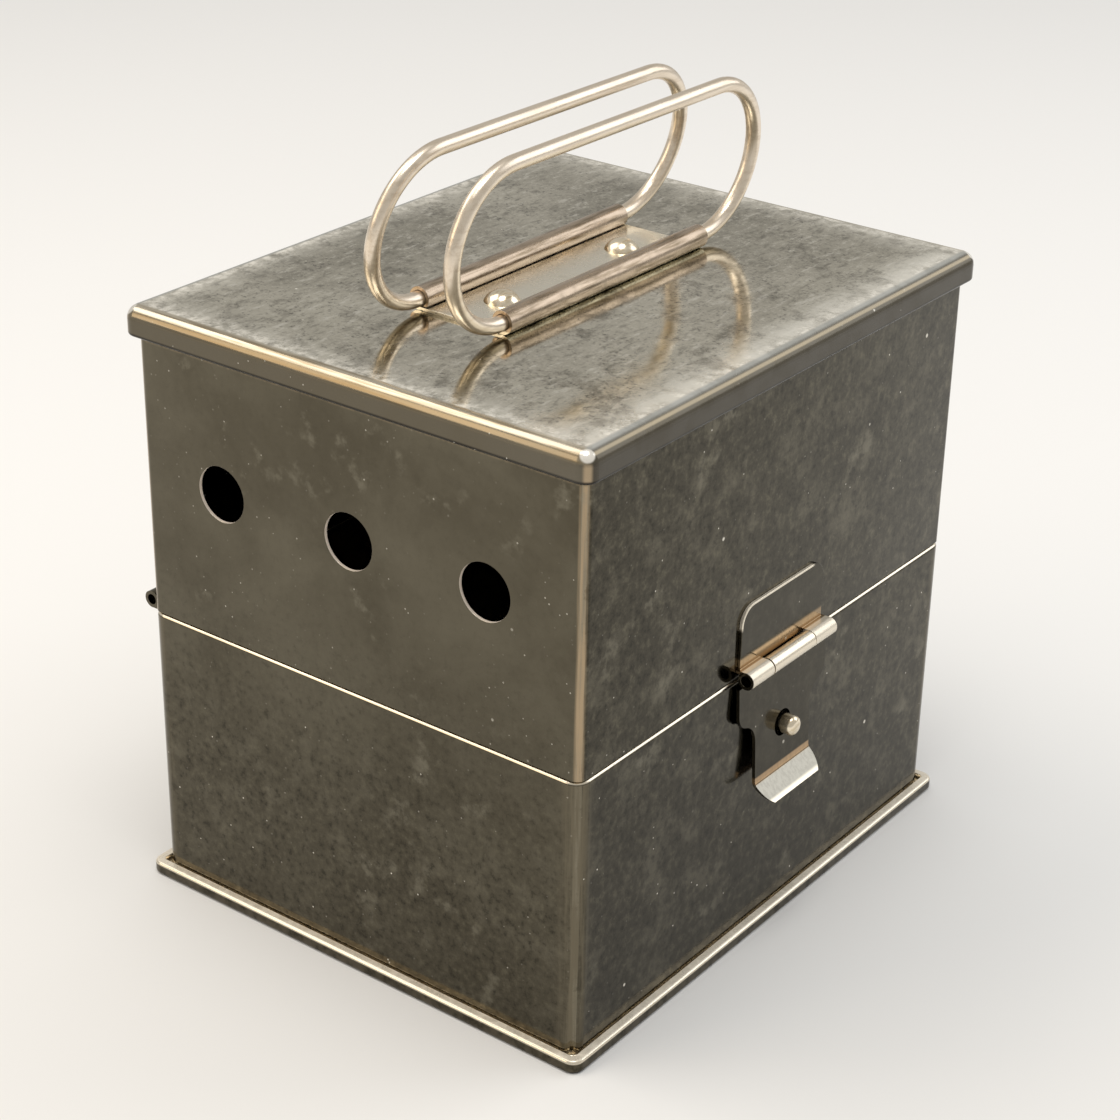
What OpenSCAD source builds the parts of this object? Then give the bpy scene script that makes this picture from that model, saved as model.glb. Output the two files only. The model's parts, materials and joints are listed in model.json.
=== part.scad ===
// Hinged sheet-steel sterilizing box with a swing latch and two wire carrying bails.
// +X is the latch side, -X the hinge side, and the two vented faces are -Y and +Y.
// The origin is the centre of the flat underside, and +Z is up.

/* [Box] */
// Outer width of the lower box, from the hinge side to the latch side
base_w = 120.6; // [100:0.2:170]
// Outer depth of the lower box, from one vented face to the other
base_d = 145.2; // [125:0.2:210]
// Height of the lower box's top edge above the table
seam_z = 69.2; // [50:0.2:100]
// Height of the cap's flat top above the table
top_z = 142.6; // [130:0.2:220]
// Thickness of the sheet steel
sheet = 0.8; // [0.6:0.05:1]
// Outer radius of the lower box's upright corners
corner_r = 3.6; // [2.8:0.1:6]
// How much tighter the lid's upright corners are than the lower box's
corner_tighter = 1.2; // [0.3:0.1:1.8]

/* [Shoulder and collar] */
// Outer radius of the rounded shoulder along the lower box's top edge
shoulder_r = 0.9; // [0.85:0.05:1.2]
// How far the lid's walls stand back from the lower box's walls
lid_step = 0.3; // [0.3:0.05:0.8]
// Gap between the closed lid's edge and the shoulder
lid_gap = 0.3; // [0.2:0.05:0.6]
// Height of the collar that guides the lid, above the shoulder
collar_h = 6; // [3:0.5:10]
// Gap between the collar and the lid's walls
collar_gap = 0.7; // [0.7:0.05:1]
// Radius of the bend between the shoulder and the collar
collar_bend = 0.2; // [0.1:0.05:0.4]

/* [Base rim] */
// Thickness of the bottom plate, which is folded up into the rim
bottom_t = 1.2; // [0.8:0.1:1.4]
// How far the folded bottom rim stands out from the wall
rim_out = 2.6; // [2.2:0.1:5]
// Inner radius of the bend between the wall and its bottom flange
flange_bend = 0.3; // [0.2:0.1:1]
// Gap between that bend and the inner edge of the folded rim
fold_gap = 0.2; // [0.1:0.05:0.5]
// Radius of the folded rim's inner edge at each upright corner
fold_corner_r = 0.7; // [0.5:0.1:2.6]
// Radius on the rim's outer edges
rim_round = 0.8; // [0.4:0.1:1]

/* [Cap] */
// How far the cap stands out from the lid's walls
cap_over = 2.1; // [1.9:0.1:2.8]
// Radius of the cap's rounded top edge
cap_edge_r = 3; // [2.4:0.1:4]
// How much larger the radius of the cap's upright corners is than that of its top edge
cap_corner_more = 0.2; // [0.1:0.1:1.5]
// Height of the cap from its lower edge to its flat top
cap_h = 6.8; // [6.5:0.1:14]
// Height of the fold inside the cap's lower edge
cap_fold = 3; // [2:0.5:3.5]

/* [Vents] */
// Diameter of each steam vent
vent_d = 13; // [8:0.5:20]
// Distance from one vent to the next
vent_pitch = 36.1; // [24:0.1:42]
// Number of vents on each vented face
vent_count = 3; // [1:1:3]
// Height of the vents above the table
vent_z = 104.8; // [90:0.2:120]
// Place of the middle vent along its face, from the middle
vent_x = -0.5; // [-6:0.5:6]

/* [Lid hinge] */
// Distance from the lower box's wall out to the hinge axis
hinge_off = 2.9; // [2.9:0.1:5]
// Height of the hinge axis above the lower box's top edge
hinge_up = 0.7; // [0.6:0.1:2.1]
// Diameter of the hinge pin
hinge_pin_d = 2.4; // [1.6:0.1:2.4]
// How far the pin's ends sit back inside the hinge
pin_recess = 2.5; // [0:0.5:6]
// Number of knuckles, an odd number so that both end ones are on the lower box
knuckles = 9; // [5:2:15]
// How far the hinge stops short of each upright corner
hinge_inset = 3; // [1:0.5:20]
// Height of each hinge leaf, from the axis to its far edge
leaf_h = 12; // [8:0.5:20]

/* [Latch] */
// Distance from the lower box's wall out to the latch's pin
latch_off = 2.5; // [2.4:0.1:4]
// Height of the latch's pin above the lower box's top edge
latch_up = 0.6; // [0.4:0.1:3]
// Place of the latch along the latch face, from its middle
latch_y = 0.4; // [-20:0.2:20]
// Width of the latch over its knuckles
latch_w = 34; // [30:0.2:50]
// Width of the tongue's middle knuckle
latch_mid = 16.4; // [10:0.2:20]
// Diameter of the latch's pin
latch_pin_d = 2.4; // [1.6:0.1:2.4]
// Width of the fixed leaf
latch_leaf_w = 32.6; // [26:0.2:48]
// Height of the fixed leaf above the latch's pin
latch_leaf_h = 16.5; // [12:0.1:22]
// Radius of the fixed leaf's top corners
latch_leaf_r = 4.5; // [2:0.5:8]
// Length of the tongue's wide part, below the pin
tongue_wide = 9.2; // [4:0.2:10]
// Width of the tongue's narrow part
tongue_w = 22; // [18:0.2:26]
// Radius of the tongue's rounded shoulders
shoulder_out_r = 3.6; // [2:0.1:4]
// Radius of the hollows below the tongue's shoulders
shoulder_in_r = 5.2; // [3:0.1:6]
// Length from the pin to the bend of the finger lip
tongue_len = 27.9; // [26:0.1:34]
// Length of the finger lip along its own slope
lip_len = 5.2; // [4.6:0.1:7]
// Slope of the finger lip, outward from the tongue
lip_angle = 44; // [20:1:48]
// Inner radius of the finger lip's bend
lip_bend = 1.5; // [1:0.5:3]
// Radius of the finger lip's corners
lip_r = 4.4; // [2:0.1:4.8]
// How far the tongue leans outward while it hangs on the stud
tongue_lean = 3; // [1.5:0.1:3.5]
// Diameter of the hole in the tongue
catch_hole_d = 6.4; // [6.2:0.1:7.6]
// Distance from the pin down to the hole in the tongue
catch_drop = 17.6; // [15:0.1:20]

/* [Stud] */
// Diameter of the stud that the tongue hooks over
stud_d = 4.9; // [4:0.1:5.2]
// Length of the stud outside the wall
stud_len = 5.1; // [4:0.1:5.6]
// Radius on the stud's tip
stud_round = 1.8; // [0.8:0.1:1.9]
// Diameter of the stud's shank through the wall
shank_d = 2.4; // [1.6:0.1:2.8]
// Diameter of the stud's flat tail inside the wall
stud_tail_d = 4.2; // [3.6:0.1:6]

/* [Handles] */
// Diameter of the bail wire
wire_d = 3.5; // [2.5:0.1:5]
// Clearance between the wire and its rolled tube, all round
wire_clear = 0.1; // [0.05:0.01:0.1]
// Length of the bracket and of its rolled tubes
bracket_len = 71.6; // [50:0.4:100]
// Distance between the two rolled tubes' axes
tube_gap = 22.4; // [21:0.1:28]
// Place of the bracket along the box's depth, from the middle
bracket_y = -0.7; // [-10:0.1:10]
// Height of each bail, from one wire's axis to the other's
bail_h = 35.2; // [30:0.2:36]
// End play of each bail beyond its tube
bail_play = 0.5; // [0.4:0.1:2]
// Lean of the latch-side bail from upright, towards the latch
front_lean = 5.3; // [-10:0.1:15]
// Lean of the hinge-side bail from upright, towards the latch
rear_lean = 10.8; // [-15:0.1:13]
// Distance of each rivet from its end of the bracket
rivet_inset = 14.1; // [10:0.1:22]
// Diameter of the rivets' domed heads
rivet_head_d = 8; // [6.5:0.1:10]
// Height of the rivets' domed heads
rivet_head_h = 2.5; // [1.6:0.1:3]
// Diameter of the rivets' shanks
rivet_d = 3.4; // [2.4:0.1:4]
// Diameter of the rivets' flat tails inside the lid
tail_d = 6; // [5:0.1:8]
// Thickness of the rivets' flat tails
tail_h = 1; // [0.6:0.1:1.6]

/* [Hidden] */
$fn = 64;

// Running clearance of a hinge pin in its knuckles, all round
pin_clear = 0.05;
// Gap between neighbouring knuckles
knuckle_gap = 0.3;
// Step between a strap and the tube that it joins, so the two meet at a clear angle
strap_step = 0.05;
// Extra length of a cut beyond the material that it passes through
through = 1;

// The folded rim is three layers: bottom plate, wall flange and folded edge
rim_h = 2 * bottom_t + sheet;
flange_z = bottom_t + sheet;
// The rim has its own corner axis, and these are distances out from it
rim_r = fold_corner_r + rim_out - flange_bend - fold_gap;
rim_w = base_w + 2 * rim_out;
rim_d = base_d + 2 * rim_out;
// Overlap that joins two pieces of one sheet
lap = 0.1;

// The collar's outer face, as a distance out from the lower box's corner axis
collar_x = corner_r - lid_step - sheet - collar_gap;

// The lid's walls stand just behind the lower box's walls
lid_w = base_w - 2 * lid_step;
lid_d = base_d - 2 * lid_step;
lid_r = corner_r - corner_tighter;
lid_edge_z = seam_z + lid_gap;

// The cap has its own corner axis. Its bend is struck from this distance out from it.
cap_w = lid_w + 2 * cap_over;
cap_d = lid_d + 2 * cap_over;
cap_r = cap_edge_r + cap_corner_more;
cap_bend_x = cap_r - cap_edge_r;
cap_low_z = top_z - cap_h;
// The lid's wall reaches up until its outer corner almost meets the inside of the cap's bend
cap_seat = 0.05;
bend_inner = cap_edge_r - sheet;
bend_reach = max(cap_edge_r - cap_over, 0);
lid_top_z = top_z - cap_edge_r + sqrt(bend_inner * bend_inner - bend_reach * bend_reach) - cap_seat;

// Lid hinge, its axis along Y
hinge_x = -(base_w / 2 + hinge_off);
hinge_z = seam_z + hinge_up;
hinge_bore_r = hinge_pin_d / 2 + pin_clear;
hinge_r = hinge_bore_r + sheet;
hinge_len = base_d - 2 * hinge_inset;
knuckle_pitch = hinge_len / knuckles;

// Latch, its pin along Y
latch_x = base_w / 2 + latch_off;
latch_z = seam_z + latch_up;
latch_bore_r = latch_pin_d / 2 + pin_clear;
latch_r = latch_bore_r + sheet;
latch_side = (latch_w - latch_mid) / 2;
// The tongue's inner face hangs this far off the lower box's wall, beside its pin
tongue_off_wall = 0.4;
tongue_face = tongue_off_wall - latch_off;
// The tongue's shoulders start below the fixed knuckles, with this gap
shoulder_gap = 0.3;
tongue_top = latch_r + shoulder_gap;
// Each shoulder and its hollow meet at this slope, as sideways and downward shares of their radii
slope_side = 0.28;
slope_down = 0.96;
shoulder_h = slope_down * (shoulder_out_r + shoulder_in_r);
tongue_wide_w = tongue_w + 2 * (1 - slope_side) * (shoulder_out_r + shoulder_in_r);
lip_r_out = lip_bend + sheet;
// The stud stands where the tongue's hole hangs
stud_z = latch_z - catch_drop * cos(tongue_lean);

// Handles
wire_r = wire_d / 2;
tube_bore_r = wire_r + wire_clear;
tube_r = tube_bore_r + sheet;
tube_z = top_z + tube_r;
bail_r = bail_h / 2;
bail_straight = bracket_len + 2 * bail_play;
scroll_slit = 0.25;
rivet_y = bracket_len / 2 - rivet_inset;
dome_r = (rivet_head_d * rivet_head_d / 4 + rivet_head_h * rivet_head_h) / (2 * rivet_head_h);

steel = [0.62, 0.6, 0.56];
steel_dark = [0.5, 0.48, 0.44];
wire_steel = [0.8, 0.76, 0.7];

// Rectangle with rounded corners, centred
module soft_rect(w, h, r) {
    square([w - 2 * r, h], center = true);
    square([w, h - 2 * r], center = true);
    for (x = [-1, 1], y = [-1, 1])
        translate([x * (w / 2 - r), y * (h / 2 - r)])
            circle(r);
}

// Rectangle from one corner to the other
module rect_between(a, b) {
    translate(a)
        square(b - a);
}

// Quarter ring between two radii, turned by quarter turns
module quarter_ring(inner, outer, turns) {
    intersection() {
        difference() {
            circle(outer);
            circle(inner);
        }
        rotate(90 * turns)
            square(outer + 1);
    }
}

// Quarter of a disc, turned by quarter turns
module quarter_disc(r, turns) {
    intersection() {
        circle(r);
        rotate(90 * turns)
            square(r + 1);
    }
}

// Sweeps a profile round a rounded rectangle. The profile's x is its distance out from the corner's axis.
module sweep_round(w, d, r) {
    hx = w / 2 - r;
    hy = d / 2 - r;
    for (corner = [[1, 1, 0], [-1, 1, 90], [-1, -1, 180], [1, -1, 270]])
        translate([corner[0] * hx, corner[1] * hy, 0])
            rotate([0, 0, corner[2]])
                rotate_extrude(angle = 90)
                    children();
    for (side = [[hx, hy, 0], [hy, hx, 90], [hx, hy, 180], [hy, hx, 270]])
        rotate([0, 0, side[2]])
            translate([side[0], 0, 0])
                rotate([90, 0, 0])
                    linear_extrude(2 * side[1], center = true)
                        children();
}

// Solid cylinder along Y, centred on y
module rod_y(r, len, y = 0) {
    translate([0, y, 0])
        rotate([90, 0, 0])
            cylinder(r = r, h = len, center = true);
}

// Extrudes a profile drawn in x and z along Y, centred on y
module extrude_y(len, y = 0) {
    translate([0, y, 0])
        rotate([90, 0, 0])
            linear_extrude(len, center = true)
                children();
}

// Extrudes an outline drawn in y and z along X, between two distances
module extrude_x(from, to) {
    translate([from, 0, 0])
        rotate([90, 0, 90])
            linear_extrude(to - from)
                children();
}

// Bottom plate, with its edge folded up and over the wall's flange
module base_bottom() {
    hx = rim_w / 2 - rim_r;
    hy = rim_d / 2 - rim_r;
    color(steel_dark) {
        translate([-hx, -hy, 0])
            cube([2 * hx, 2 * hy, bottom_t]);
        sweep_round(rim_w, rim_d, rim_r) {
            difference() {
                union() {
                    rect_between([0, 0], [rim_r - rim_round, bottom_t]);
                    translate([(fold_corner_r + rim_r) / 2, rim_h / 2])
                        soft_rect(rim_r - fold_corner_r, rim_h, rim_round);
                    rect_between([fold_corner_r, 0], [rim_r - rim_round, rim_h]);
                }
                rect_between([fold_corner_r - lap, bottom_t], [rim_r - bottom_t, flange_z]);
            }
        }
    }
}

// Lower box's wall above its flange: the bend at its foot, the shoulder, and the collar inside the lid
module base_wall() {
    foot_x = corner_r + flange_bend;
    foot_z = flange_z + flange_bend;
    shoulder_z = seam_z - shoulder_r;
    neck_x = collar_x + collar_bend;
    sweep_round(base_w, base_d, corner_r) {
        rect_between([foot_x, bottom_t], [foot_x + 2 * lap, flange_z]);
        translate([foot_x, foot_z])
            quarter_ring(flange_bend, flange_bend + sheet, 2);
        rect_between([corner_r - sheet, foot_z], [corner_r, shoulder_z]);
        translate([corner_r - shoulder_r, shoulder_z])
            quarter_ring(shoulder_r - sheet, shoulder_r, 0);
        rect_between([neck_x, seam_z - sheet], [corner_r - shoulder_r, seam_z]);
        translate([neck_x, seam_z + collar_bend])
            quarter_ring(collar_bend, collar_bend + sheet, 2);
        rect_between([collar_x - sheet, seam_z + collar_bend], [collar_x, seam_z + collar_h]);
    }
}

// Lower box's wall, flared out at the bottom into a flange that lies in the folded rim
module base_shell() {
    flange_out = rim_out - bottom_t;
    foot = flange_bend + lap;
    color(steel)
        difference() {
            union() {
                translate([0, 0, bottom_t])
                    linear_extrude(sheet)
                        difference() {
                            soft_rect(base_w + 2 * flange_out, base_d + 2 * flange_out, rim_r - bottom_t);
                            soft_rect(base_w + 2 * foot, base_d + 2 * foot, corner_r + foot);
                        }
                base_wall();
            }
            translate([base_w / 2, latch_y, stud_z])
                rotate([0, 90, 0])
                    cylinder(d = shank_d, h = 4 * sheet, center = true);
        }
}

// Every second knuckle of the lid hinge, from the first or the second
module hinge_knuckles(first) {
    for (i = [first : 2 : knuckles - 1])
        translate([0, -hinge_len / 2 + (i + 0.5) * knuckle_pitch, 0])
            children();
}

// One leaf of the lid hinge: a plate on its wall, straps out to the axis, and rolled knuckles
module hinge_leaf(first, wall_x, up) {
    strap_far = hinge_r - strap_step;
    strap_near = strap_far - (sheet - 2 * strap_step);
    // The plate lies on the wall at wall_x, measured from the hinge axis
    translate([hinge_x, 0, hinge_z])
        difference() {
            union() {
                mirror([0, 0, up ? 0 : 1])
                    translate([wall_x - sheet, -hinge_len / 2, strap_near])
                        cube([sheet, hinge_len, leaf_h - strap_near]);
                hinge_knuckles(first) {
                    mirror([0, 0, up ? 0 : 1])
                        translate([0, -(knuckle_pitch - knuckle_gap) / 2, strap_near])
                            cube([wall_x, knuckle_pitch - knuckle_gap, strap_far - strap_near]);
                    rod_y(hinge_r, knuckle_pitch - knuckle_gap);
                }
            }
            rod_y(hinge_bore_r, hinge_len + 2 * through);
        }
}

module hinge_base_leaf() {
    color(steel)
        hinge_leaf(0, hinge_off, false);
}

module hinge_lid_leaf() {
    color(steel)
        hinge_leaf(1, hinge_off + lid_step, true);
}

module hinge_pin() {
    color(wire_steel)
        translate([hinge_x, 0, hinge_z])
            rod_y(hinge_pin_d / 2, hinge_len - 2 * pin_recess);
}

// Lid's wall, with the steam vents through both vented faces
module lid_shell() {
    color(steel)
        difference() {
            sweep_round(lid_w, lid_d, lid_r)
                rect_between([lid_r - sheet, lid_edge_z], [lid_r, lid_top_z]);
            for (i = [0 : vent_count - 1], face = [-1, 1])
                translate([vent_x + (i - (vent_count - 1) / 2) * vent_pitch, 0, vent_z])
                    rotate([90, 0, 0])
                        translate([0, 0, face * (lid_d - sheet) / 2])
                            cylinder(d = vent_d, h = sheet + 2 * through, center = true);
        }
}

// Pressed cap: flat top, rounded edge, and a skirt folded inward at its lower edge
module lid_cap() {
    hx = cap_w / 2 - cap_r;
    hy = cap_d / 2 - cap_r;
    color(steel)
        difference() {
            union() {
                translate([-hx, -hy, top_z - sheet])
                    cube([2 * hx, 2 * hy, sheet]);
                sweep_round(cap_w, cap_d, cap_r) {
                    rect_between([0, top_z - sheet], [cap_bend_x, top_z]);
                    translate([cap_bend_x, top_z - cap_edge_r])
                        quarter_ring(bend_inner, cap_edge_r, 0);
                    rect_between([cap_r - sheet, cap_low_z + sheet], [cap_r, top_z - cap_edge_r]);
                    rect_between([cap_r - 2 * sheet, cap_low_z + sheet],
                        [cap_r - sheet, cap_low_z + cap_fold]);
                    translate([cap_r - sheet, cap_low_z + sheet])
                        intersection() {
                            circle(sheet);
                            translate([-sheet, -sheet])
                                square([2 * sheet, sheet]);
                        }
                }
            }
            for (side = [-1, 1])
                translate([0, bracket_y + side * rivet_y, top_z])
                    cylinder(d = rivet_d, h = 4 * sheet, center = true);
        }
}

// Stud on the lower box: rounded tip, shank through the wall, and a flat tail inside
module latch_stud() {
    color(wire_steel)
        translate([base_w / 2, latch_y, stud_z])
            rotate([0, 90, 0])
                rotate_extrude() {
                    rect_between([0, -2 * sheet], [stud_tail_d / 2, -sheet]);
                    rect_between([0, -sheet], [shank_d / 2, 0]);
                    rect_between([0, 0], [stud_d / 2, stud_len - stud_round]);
                    rect_between([0, 0], [stud_d / 2 - stud_round, stud_len]);
                    translate([stud_d / 2 - stud_round, stud_len - stud_round])
                        quarter_disc(stud_round, 0);
                }
}

// Fixed leaf of the latch: a plate on the lid's wall with a knuckle at each end
module latch_leaf() {
    strap_far = latch_r - strap_step;
    strap_near = strap_far - (sheet - 2 * strap_step);
    wall = -(latch_off + lid_step);
    knuckle = latch_side - knuckle_gap;
    color(steel)
        translate([latch_x, latch_y, latch_z])
            difference() {
                union() {
                    extrude_x(wall, wall + sheet) {
                        rect_between([-latch_leaf_w / 2, strap_near],
                            [latch_leaf_w / 2, latch_leaf_h - latch_leaf_r]);
                        translate([0, (strap_far + latch_leaf_h) / 2])
                            soft_rect(latch_leaf_w, latch_leaf_h - strap_far, latch_leaf_r);
                    }
                    for (side = [-1, 1]) {
                        rod_y(latch_r, knuckle, side * (latch_w - knuckle) / 2);
                        extrude_y(knuckle, side * (latch_w - knuckle) / 2)
                            rect_between([wall, strap_near], [0, strap_far]);
                    }
                }
                rod_y(latch_bore_r, latch_w + 2 * through);
            }
}

module latch_pin() {
    color(wire_steel)
        translate([latch_x, latch_y, latch_z])
            rod_y(latch_pin_d / 2, latch_w);
}

// Part of the finger lip's bend, from its start down to a slope
module lip_bend_part(slope) {
    intersection() {
        difference() {
            circle(lip_r_out);
            circle(lip_bend);
        }
        polygon([
            [0, 0],
            [-2 * lip_r_out, 0],
            [-2 * lip_r_out, -2 * lip_r_out * tan(slope)]
        ]);
    }
}

// Side view of the tongue: flat plate, bend and finger lip. The bend's two parts overlap at its middle.
module tongue_side() {
    part = 0.6 * lip_angle;
    rect_between([tongue_face, -tongue_len], [tongue_face + sheet, 0]);
    translate([tongue_face + lip_r_out, -tongue_len]) {
        lip_bend_part(part);
        rotate(lip_angle) {
            mirror([0, 1])
                lip_bend_part(part);
            rect_between([-lip_r_out, -lip_len], [-lip_bend, 0]);
        }
    }
}

// Front view of the tongue: rounded shoulders, hollows down to the narrow part, rounded lower corners
module tongue_front() {
    // The outline ends just past the lip's lowest edge, so the two don't merely touch
    low = -(tongue_len + lip_r_out * sin(lip_angle) + lip_len * cos(lip_angle) + lap);
    half_wide = tongue_wide_w / 2;
    meet_y = half_wide - (1 - slope_side) * shoulder_out_r;
    hollow_z = -tongue_wide - shoulder_h;
    rect_between([-latch_mid / 2, -tongue_wide], [latch_mid / 2, latch_r]);
    rect_between([-half_wide, -tongue_wide], [half_wide, -tongue_top]);
    for (side = [0, 1])
        mirror([side, 0]) {
            translate([half_wide - shoulder_out_r, -tongue_wide])
                quarter_disc(shoulder_out_r, 3);
            difference() {
                rect_between([0, hollow_z], [meet_y, -tongue_wide]);
                translate([tongue_w / 2 + shoulder_in_r, hollow_z])
                    circle(shoulder_in_r);
            }
        }
    rect_between([-tongue_w / 2, low + lip_r], [tongue_w / 2, hollow_z]);
    translate([0, (low - tongue_wide) / 2])
        soft_rect(tongue_w, -low - tongue_wide, lip_r);
}

// Swinging tongue that hangs from the latch's pin, with the hole that hooks over the stud
module latch_tongue() {
    reach = tongue_len + lip_len + 2 * lip_r_out;
    color(steel)
        translate([latch_x, latch_y, latch_z])
            rotate([0, -tongue_lean, 0])
                difference() {
                    union() {
                        intersection() {
                            extrude_y(tongue_wide_w + 2 * through)
                                tongue_side();
                            extrude_x(-reach, reach)
                                tongue_front();
                        }
                        rod_y(latch_r, latch_mid);
                    }
                    rod_y(latch_bore_r, latch_w + 2 * through);
                    translate([0, 0, -catch_drop])
                        rotate([0, 90, 0])
                            cylinder(d = catch_hole_d, h = 8 * sheet, center = true);
                }
}

// Flat bracket on the cap, with both long edges rolled into tubes for the bails
module handle_bracket() {
    strip_end = tube_gap / 2 - tube_bore_r / 2;
    color(steel)
        translate([0, bracket_y, top_z])
            difference() {
                extrude_y(bracket_len) {
                    rect_between([-strip_end, 0], [strip_end, sheet]);
                    for (side = [0, 1])
                        mirror([side, 0])
                            difference() {
                                translate([tube_gap / 2, tube_r])
                                    circle(tube_r);
                                translate([tube_gap / 2, tube_r])
                                    circle(tube_bore_r);
                                rect_between([0, sheet], [tube_gap / 2, sheet + scroll_slit]);
                            }
                }
                for (side = [-1, 1])
                    translate([0, side * rivet_y, 0])
                        cylinder(d = rivet_d, h = 4 * sheet, center = true);
            }
}

// Domed rivet through the bracket and the cap, with a flat tail inside the lid
module rivet(side) {
    color(wire_steel)
        translate([0, bracket_y + side * rivet_y, top_z]) {
            translate([0, 0, -sheet])
                cylinder(d = rivet_d, h = 2 * sheet);
            translate([0, 0, -sheet - tail_h])
                cylinder(d = tail_d, h = tail_h);
            translate([0, 0, sheet])
                intersection() {
                    translate([0, 0, rivet_head_h - dome_r])
                        sphere(dome_r);
                    cylinder(d = rivet_head_d + 1, h = rivet_head_h + 1);
                }
        }
}

module rivet_near() {
    rivet(-1);
}

module rivet_far() {
    rivet(1);
}

// Closed loop of round wire, standing on the axis of its lower straight
module bail() {
    for (z = [0, bail_h])
        translate([0, 0, z])
            rod_y(wire_r, bail_straight);
    for (side = [0, 1])
        mirror([0, side, 0])
            translate([0, bail_straight / 2, bail_r])
                rotate([90, 0, 90])
                    rotate([0, 0, -90])
                        rotate_extrude(angle = 180)
                            translate([bail_r, 0])
                                circle(wire_r);
}

module bail_front() {
    color(wire_steel)
        translate([tube_gap / 2, bracket_y, tube_z])
            rotate([0, front_lean, 0])
                bail();
}

module bail_rear() {
    color(wire_steel)
        translate([-tube_gap / 2, bracket_y, tube_z])
            rotate([0, rear_lean, 0])
                bail();
}

base_bottom();
base_shell();
hinge_base_leaf();
hinge_pin();
latch_stud();
lid_shell();
lid_cap();
hinge_lid_leaf();
latch_leaf();
latch_pin();
handle_bracket();
rivet_near();
rivet_far();
latch_tongue();
bail_front();
bail_rear();
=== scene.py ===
# %% [markdown]
# # A hinged sterilizing box in plated sheet steel
# The box boils or steams small instruments. Its walls are a dark, worn mirror, its cap is stained
# by water, and two wire bails lie in rolled tubes on top. This notebook dresses the measured
# model: it makes a small studio, mixes the worn metals, and rebuilds the pieces that the eye rests
# on.

# %% Load the measured model
import json
import math

import bpy
import bmesh
from mathutils import Matrix, Vector

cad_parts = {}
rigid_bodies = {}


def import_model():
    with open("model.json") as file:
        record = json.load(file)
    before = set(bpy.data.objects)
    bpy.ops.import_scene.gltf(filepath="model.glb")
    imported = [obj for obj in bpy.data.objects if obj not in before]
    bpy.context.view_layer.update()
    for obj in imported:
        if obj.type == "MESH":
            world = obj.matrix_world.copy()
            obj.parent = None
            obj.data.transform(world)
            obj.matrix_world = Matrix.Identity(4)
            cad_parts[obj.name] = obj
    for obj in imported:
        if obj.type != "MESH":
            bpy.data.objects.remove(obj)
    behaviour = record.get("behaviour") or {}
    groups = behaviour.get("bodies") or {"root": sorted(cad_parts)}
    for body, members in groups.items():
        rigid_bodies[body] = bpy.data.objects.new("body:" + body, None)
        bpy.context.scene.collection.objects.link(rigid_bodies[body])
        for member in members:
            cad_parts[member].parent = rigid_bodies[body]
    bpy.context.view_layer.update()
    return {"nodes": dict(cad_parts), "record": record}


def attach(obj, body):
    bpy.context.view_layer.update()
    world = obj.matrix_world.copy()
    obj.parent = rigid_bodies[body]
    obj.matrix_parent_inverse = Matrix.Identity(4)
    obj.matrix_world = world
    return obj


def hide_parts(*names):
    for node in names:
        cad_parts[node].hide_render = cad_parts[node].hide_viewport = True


for leftover in list(bpy.data.objects):
    bpy.data.objects.remove(leftover)
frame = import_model()
MM = 0.001

# %% [markdown]
# ## The camera
# The photograph was matched to the box's own corners. A long lens stands half a metre off, looks
# down over the near corner, and is tipped by one degree, as a hand-held picture is.

# %% Camera at the photograph's place
AZIMUTH, ELEVATION, ROLL = (math.radians(a) for a in (36.84, 26.42, 1.07))
DISTANCE = 581.56 * MM
AIM = Vector((1.954, -2.629, 74.556)) * MM
LENS, SENSOR = 81.02, 36.0

back = Vector((
    math.sin(AZIMUTH) * math.cos(ELEVATION),
    -math.cos(AZIMUTH) * math.cos(ELEVATION),
    math.sin(ELEVATION),
))
level = Vector((math.cos(AZIMUTH), math.sin(AZIMUTH), 0))
right = Matrix.Rotation(ROLL, 3, back) @ level
camera_data = bpy.data.cameras.new("camera")
camera_data.lens, camera_data.sensor_width = LENS, SENSOR
camera = bpy.data.objects.new("camera", camera_data)
bpy.context.scene.collection.objects.link(camera)
camera.matrix_world = Matrix.Translation(AIM + back * DISTANCE) @ Matrix(
    (right, back.cross(right), back)
).transposed().to_4x4()
bpy.context.scene.camera = camera
bpy.context.scene.view_settings.view_transform = "Standard"
print("camera stands at", [round(v / MM) for v in camera.location], "mm")

# %% [markdown]
# ## Two small helpers
# Colours are written as the hex numbers that a paint chart gives. Blender mixes light in linear
# numbers, so one function turns a hex colour to linear. The other function adds a shader node,
# picks what it does, and sets or links its inputs, all in one line.

# %% Colour and node helpers
def linear(hex_colour):
    """Linear red, green, blue and alpha of an sRGB hex colour."""
    values = [int(hex_colour[i:i + 2], 16) / 255 for i in (1, 3, 5)]
    return [v / 12.92 if v <= 0.04045 else ((v + 0.055) / 1.055) ** 2.4 for v in values] + [1.0]


CHOICE = {"Math": "operation", "VectorMath": "operation", "Mix": "data_type",
          "MapRange": "interpolation_type"}


def add(tree, kind, *values, **sockets):
    """Adds a node and gives it back. A kind such as "Math.ADD" also picks what the node does.
    Values fill its open inputs in their order, and sockets fill inputs by name. A node that is
    given as a value stands for its first open output."""
    kind, _, choice = kind.partition(".")
    node = tree.nodes.new("ShaderNode" + kind)
    if choice:
        setattr(node, CHOICE[kind], choice)
    filled = list(zip([socket for socket in node.inputs if socket.enabled], values))
    filled += [(node.inputs[name.replace("_", " ")], value) for name, value in sockets.items()]
    for socket, value in filled:
        if isinstance(value, bpy.types.Node):
            value = next(output for output in value.outputs if output.enabled)
        if isinstance(value, bpy.types.NodeSocket):
            tree.links.new(value, socket)
        else:
            socket.default_value = linear(value) if isinstance(value, str) else value
    return node


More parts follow.
